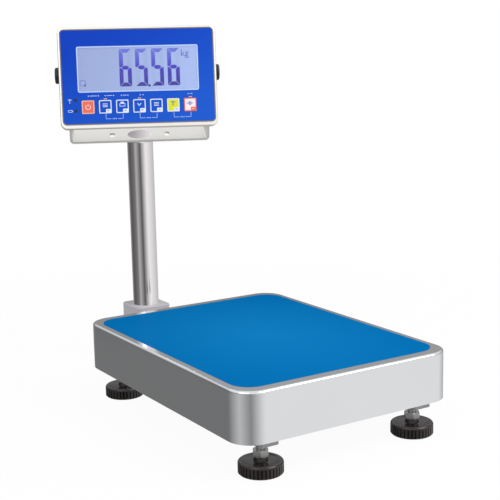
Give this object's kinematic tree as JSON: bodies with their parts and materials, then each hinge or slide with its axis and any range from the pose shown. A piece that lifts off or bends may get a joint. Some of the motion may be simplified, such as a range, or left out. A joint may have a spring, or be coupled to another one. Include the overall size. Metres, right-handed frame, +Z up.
{
  "type": "platform scale",
  "caption": "Bench platform scale: load cell base with lift-off steel pan on levelling feet, rear column and a tilting, swivelling indicator with display and keys.",
  "frame": {"origin": "on the floor, in the middle of the whole footprint", "axes": "+Z up; -Y towards the operator, the column is at +Y; +X to the operator's right"},
  "size_m": [0.3, 0.5794, 0.4957],
  "materials": {
    "stainless": "satin brushed",
    "cover_blue": "satin film",
    "frame_steel": "satin silver paint",
    "cell_aluminium": "machined",
    "zinc": "zinc plated",
    "black_rubber": "matt",
    "black_plastic": "matt",
    "foot_black": "satin moulded",
    "vial": "clear",
    "cast_grey": "satin",
    "polished": "polished",
    "film_blue": "satin film",
    "window": "clear",
    "display": "backlit",
    "board_green": "solder mask",
    "lamp_dark": "unlit",
    "key_orange": "printed",
    "key_blue": "printed",
    "key_yellow": "printed",
    "key_rose": "printed"
  },
  "bodies": {
    "base": {"base_frame": "frame_steel", "load_cell": "cell_aluminium", "cell_base_spacer": "zinc", "cell_base_screws": "zinc", "overload_stops": "zinc", "overload_stop_nuts": "zinc", "spirit_level_cup": "black_plastic", "spirit_level_vial": "vial", "column_carrier": "frame_steel", "carrier_bolts": "zinc", "carrier_nuts": "zinc", "column_socket": "cast_grey", "socket_screws": "zinc", "socket_clamp_screw": "zinc"},
    "load_frame": {"load_frame": "frame_steel", "cell_top_spacer": "zinc", "cell_top_screws": "zinc", "platform_pads": "black_rubber"},
    "pan": {"pan": "stainless", "platform_cover": "cover_blue"},
    "column": {"column_tube": "polished", "column_weld_collar": "polished", "indicator_bracket": "stainless"},
    "indicator": {"indicator_bezel": "stainless", "indicator_case": "stainless", "case_screws": "zinc", "front_film": "film_blue", "key_membrane": "film_blue", "display_window": "window", "display_module": "display", "main_board": "board_green", "board_posts": "zinc", "battery": "black_plastic", "battery_strap": "zinc", "status_lamps": "lamp_dark", "lamp_board": "board_green", "cable_gland": "black_plastic", "charging_socket": "black_plastic", "tilt_washers": "black_rubber"},
    "foot_front_left": {"foot_pad_front_left": "foot_black"},
    "stud_front_left": {"foot_stud_front_left": "zinc"},
    "foot_front_right": {"foot_pad_front_right": "foot_black"},
    "stud_front_right": {"foot_stud_front_right": "zinc"},
    "foot_rear_left": {"foot_pad_rear_left": "foot_black"},
    "stud_rear_left": {"foot_stud_rear_left": "zinc"},
    "foot_rear_right": {"foot_pad_rear_right": "foot_black"},
    "stud_rear_right": {"foot_stud_rear_right": "zinc"},
    "knob_left": {"tilt_knob_left": "black_plastic", "tilt_knob_stud_left": "zinc"},
    "knob_right": {"tilt_knob_right": "black_plastic", "tilt_knob_stud_right": "zinc"},
    "key_1_button": {"key_1": "key_orange"},
    "key_2_button": {"key_2": "key_blue"},
    "key_3_button": {"key_3": "key_blue"},
    "key_4_button": {"key_4": "key_blue"},
    "key_5_button": {"key_5": "key_blue"},
    "key_6_button": {"key_6": "key_yellow"},
    "key_7_button": {"key_7": "key_rose"}
  },
  "joints": [
    {"name": "platform_deflection", "type": "slide", "parent": "base", "child": "load_frame", "axis": [0, 0, 1], "range_m": [-0.0006, 0], "stiffness_N_per_m": 1200000, "deforming": ["load_cell"]},
    {"name": "pan_lift", "type": "slide", "parent": "load_frame", "child": "pan", "axis": [0, 0, 1], "range_m": [0, 0.08]},
    {"name": "column_swivel", "type": "hinge", "parent": "base", "child": "column", "pos_m": [0, 0.22489, 0.086], "axis": [0, 0, 1], "range_deg": [-64.5, 115.5]},
    {"name": "indicator_tilt", "type": "hinge", "parent": "column", "child": "indicator", "pos_m": [-0.0102, 0.20351, 0.42888], "axis": [0.9026, -0.4305, 0], "range_deg": [-40, 15]},
    {"name": "foot_height_front_left", "type": "slide", "parent": "base", "child": "foot_front_left", "axis": [0, 0, 1], "range_m": [-0.008, 0.006]},
    {"name": "foot_turn_front_left", "type": "hinge", "parent": "foot_front_left", "child": "stud_front_left", "pos_m": [-0.1095, -0.26101, 0.015], "axis": [0, 0, 1], "range_deg": [-1920.5, 1440.5]},
    {"name": "foot_height_front_right", "type": "slide", "parent": "base", "child": "foot_front_right", "axis": [0, 0, 1], "range_m": [-0.008, 0.006]},
    {"name": "foot_turn_front_right", "type": "hinge", "parent": "foot_front_right", "child": "stud_front_right", "pos_m": [0.1095, -0.26101, 0.015], "axis": [0, 0, 1], "range_deg": [-1920.5, 1440.5]},
    {"name": "foot_height_rear_left", "type": "slide", "parent": "base", "child": "foot_rear_left", "axis": [0, 0, 1], "range_m": [-0.008, 0.006]},
    {"name": "foot_turn_rear_left", "type": "hinge", "parent": "foot_rear_left", "child": "stud_rear_left", "pos_m": [-0.1095, 0.08159, 0.015], "axis": [0, 0, 1], "range_deg": [-1920.5, 1440.5]},
    {"name": "foot_height_rear_right", "type": "slide", "parent": "base", "child": "foot_rear_right", "axis": [0, 0, 1], "range_m": [-0.008, 0.006]},
    {"name": "foot_turn_rear_right", "type": "hinge", "parent": "foot_rear_right", "child": "stud_rear_right", "pos_m": [0.1095, 0.08159, 0.015], "axis": [0, 0, 1], "range_deg": [-1920.5, 1440.5]},
    {"name": "tilt_knob_turn_left", "type": "hinge", "parent": "indicator", "child": "knob_left", "pos_m": [-0.0102, 0.20351, 0.42888], "axis": [0.9026, -0.4305, 0], "continuous": true},
    {"name": "tilt_knob_turn_right", "type": "hinge", "parent": "indicator", "child": "knob_right", "pos_m": [-0.0102, 0.20351, 0.42888], "axis": [0.9026, -0.4305, 0], "continuous": true},
    {"name": "key_1_press", "type": "slide", "parent": "indicator", "child": "key_1_button", "axis": [0.4273, 0.8959, -0.1219], "range_m": [0, 0.0005], "stiffness_N_per_m": 4000},
    {"name": "key_2_press", "type": "slide", "parent": "indicator", "child": "key_2_button", "axis": [0.4273, 0.8959, -0.1219], "range_m": [0, 0.0005], "stiffness_N_per_m": 4000},
    {"name": "key_3_press", "type": "slide", "parent": "indicator", "child": "key_3_button", "axis": [0.4273, 0.8959, -0.1219], "range_m": [0, 0.0005], "stiffness_N_per_m": 4000},
    {"name": "key_4_press", "type": "slide", "parent": "indicator", "child": "key_4_button", "axis": [0.4273, 0.8959, -0.1219], "range_m": [0, 0.0005], "stiffness_N_per_m": 4000},
    {"name": "key_5_press", "type": "slide", "parent": "indicator", "child": "key_5_button", "axis": [0.4273, 0.8959, -0.1219], "range_m": [0, 0.0005], "stiffness_N_per_m": 4000},
    {"name": "key_6_press", "type": "slide", "parent": "indicator", "child": "key_6_button", "axis": [0.4273, 0.8959, -0.1219], "range_m": [0, 0.0005], "stiffness_N_per_m": 4000},
    {"name": "key_7_press", "type": "slide", "parent": "indicator", "child": "key_7_button", "axis": [0.4273, 0.8959, -0.1219], "range_m": [0, 0.0005], "stiffness_N_per_m": 4000}
  ],
  "couplings": [
    {"joint": "foot_turn_front_left", "follows": "foot_height_front_left", "rad_per_m": 4188.8},
    {"joint": "foot_turn_front_right", "follows": "foot_height_front_right", "rad_per_m": 4188.8},
    {"joint": "foot_turn_rear_left", "follows": "foot_height_rear_left", "rad_per_m": 4188.8},
    {"joint": "foot_turn_rear_right", "follows": "foot_height_rear_right", "rad_per_m": 4188.8}
  ]
}
